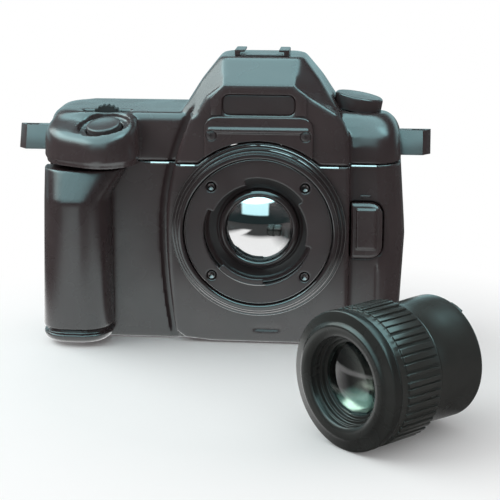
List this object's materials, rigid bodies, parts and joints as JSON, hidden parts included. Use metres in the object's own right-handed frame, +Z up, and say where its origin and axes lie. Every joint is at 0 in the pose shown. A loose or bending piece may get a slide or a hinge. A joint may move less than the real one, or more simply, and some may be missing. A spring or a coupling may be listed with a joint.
{
  "type": "toy camera",
  "caption": "Toy reflex camera with a moulded grip, finder hump and dome lens in a bayonet mount, and its ribbed lens lying detached in front.",
  "frame": {"origin": "on the base plane under the lens mount axis, midway between the front and back plates", "axes": "+Z up, the camera faces -Y, +X towards the plain end away from the grip"},
  "size_m": [0.1721, 0.1677, 0.1092],
  "materials": {
    "body_plastic": "soft gloss moulded black plastic",
    "dark_plastic": "satin moulded black plastic",
    "lens_plastic": "soft gloss moulded black plastic",
    "clear_plastic": "clear polished",
    "soft_rubber": "matt",
    "steel": "zinc plated"
  },
  "bodies": {
    "camera_body": {"front_shell": "body_plastic", "rear_shell": "body_plastic", "body_screw_1": "steel", "body_screw_2": "steel", "body_screw_3": "steel", "body_screw_4": "steel", "top_cover": "body_plastic", "grip_shell": "dark_plastic", "grip_end_cap": "dark_plastic", "front_panel": "body_plastic", "panel_screw_1": "steel", "panel_screw_2": "steel", "name_plate": "body_plastic", "mount_collar": "body_plastic", "mount_ring": "dark_plastic", "mount_screw_1": "steel", "mount_screw_2": "steel", "mount_screw_3": "steel", "mount_screw_4": "steel", "lens_seat": "dark_plastic", "dome_lens": "clear_plastic", "dome_retainer": "dark_plastic", "release_spring": "steel", "shutter_spring": "steel", "shutter_bracket": "dark_plastic", "wheel_axle": "steel", "wheel_bracket": "dark_plastic", "accessory_shoe": "body_plastic", "finder_tube": "dark_plastic", "eyepiece_frame": "body_plastic", "eyepiece_window": "clear_plastic", "eyecup": "soft_rubber", "strap_lug_left": "body_plastic", "strap_lug_right": "body_plastic"},
    "shutter": {"shutter_button": "body_plastic"},
    "wheel": {"thumb_wheel": "dark_plastic"},
    "knob": {"side_knob": "body_plastic", "knob_clip": "steel"},
    "release": {"release_button": "body_plastic"},
    "lens": {"lens_barrel": "lens_plastic", "lens_bezel": "lens_plastic", "lens_cone": "lens_plastic", "front_element": "clear_plastic", "rear_spigot": "lens_plastic", "rear_element": "clear_plastic"},
    "ring": {"focus_ring": "lens_plastic"}
  },
  "joints": [
    {"name": "shutter_press", "type": "slide", "parent": "camera_body", "child": "shutter", "axis": [0.0961, 0.2577, -0.9614], "range_m": [0, 0.002], "stiffness_N_per_m": 300, "springref_m": -0.002, "deforming": ["shutter_spring"]},
    {"name": "thumb_wheel_spin", "type": "hinge", "parent": "camera_body", "child": "wheel", "pos_m": [-0.0575, -0.0122, 0.0825], "axis": [0, 1, 0], "continuous": true},
    {"name": "side_knob_spin", "type": "hinge", "parent": "camera_body", "child": "knob", "pos_m": [0.0352, 0.002, 0.0861], "axis": [0.1736, 0, 0.9848], "continuous": true},
    {"name": "release_press", "type": "slide", "parent": "camera_body", "child": "release", "axis": [0, 1, 0], "range_m": [0, 0.0018], "stiffness_N_per_m": 400, "springref_m": -0.002, "deforming": ["release_spring"]},
    {"name": "lens_slide", "type": "slide", "parent": "camera_body", "child": "lens", "axis": [0, -1, 0], "range_m": [0, 0.06]},
    {"name": "focus_ring_turn", "type": "hinge", "parent": "lens", "child": "ring", "pos_m": [0.04793, -0.11418, 0.0224], "axis": [-0.7046, -0.7096, 0], "range_deg": [-60, 60]}
  ]
}
